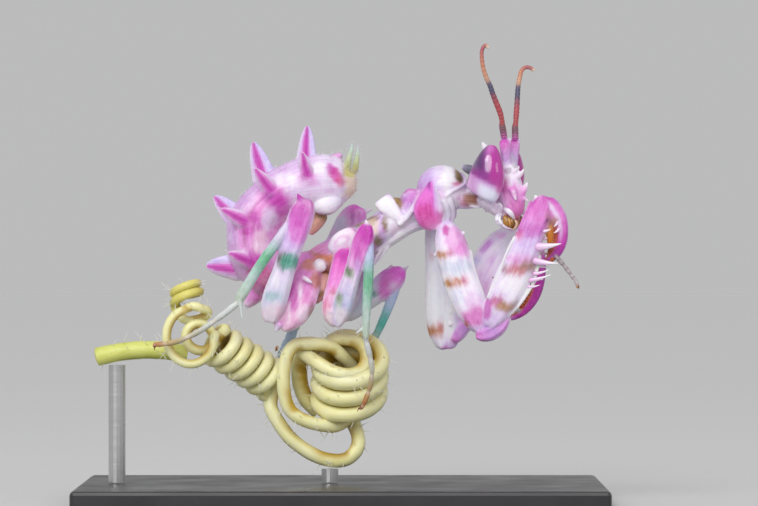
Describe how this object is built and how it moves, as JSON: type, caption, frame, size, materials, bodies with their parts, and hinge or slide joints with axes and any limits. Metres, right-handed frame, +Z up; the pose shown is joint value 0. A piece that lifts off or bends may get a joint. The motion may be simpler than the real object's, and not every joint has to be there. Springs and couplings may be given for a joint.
{
  "type": "spiny flower mantis nymph model",
  "caption": "Life-size still model of a pink and white spiny flower mantis nymph with its abdomen curled up, gripping a cut coiled plant tendril on a flat display base.",
  "frame": {"origin": "bottom centre of the bounding box, which is the centre of the display base's underside", "axes": "+X the way the mantis faces and the long side of the base, +Y its left side, +Z up"},
  "size_m": [0.034, 0.022, 0.0297],
  "materials": {
    "cuticle": "waxy pink, lilac and white insect cuticle with green and orange-brown bands",
    "eye": "glossy compound eye, purple above, pale pink below",
    "feeler": "satin red-brown ringed feeler",
    "foot": "satin brown jointed foot",
    "cercus": "satin green-yellow",
    "tendril": "soft waxy yellow-green plant stem",
    "stand_base": "satin charcoal acrylic",
    "stand_rod": "brushed steel rod"
  },
  "bodies": {
    "root": {"abdomen_1": "cuticle", "abdomen_2": "cuticle", "abdomen_3": "cuticle", "abdomen_4": "cuticle", "abdomen_5": "cuticle", "antenna_left": "feeler", "antenna_right": "feeler", "cercus_left": "cercus", "cercus_right": "cercus", "coxa_fore_left": "cuticle", "coxa_fore_right": "cuticle", "coxa_hind_left": "cuticle", "coxa_hind_right": "cuticle", "coxa_middle_left": "cuticle", "coxa_middle_right": "cuticle", "eye_left": "eye", "eye_right": "eye", "femur_fore_left": "cuticle", "femur_fore_right": "cuticle", "femur_hind_left": "cuticle", "femur_hind_right": "cuticle", "femur_middle_left": "cuticle", "femur_middle_right": "cuticle", "head": "cuticle", "mesothorax": "cuticle", "metathorax": "cuticle", "neck": "cuticle", "pronotum": "cuticle", "stand_base": "stand_base", "stand_rod_coil": "stand_rod", "stand_rod_stem": "stand_rod", "tarsus_fore_left": "foot", "tarsus_fore_right": "foot", "tarsus_hind_left": "foot", "tarsus_hind_right": "foot", "tarsus_middle_left": "foot", "tarsus_middle_right": "foot", "tendril_side_loop": "tendril", "tendril_spring": "tendril", "tendril_stack": "tendril", "tendril_stem": "tendril", "tendril_tip_coil": "tendril", "tibia_fore_left": "cuticle", "tibia_fore_right": "cuticle", "tibia_hind_left": "cuticle", "tibia_hind_right": "cuticle", "tibia_middle_left": "cuticle", "tibia_middle_right": "cuticle", "trochanter_fore_left": "cuticle", "trochanter_fore_right": "cuticle"}
  },
  "joints": []
}
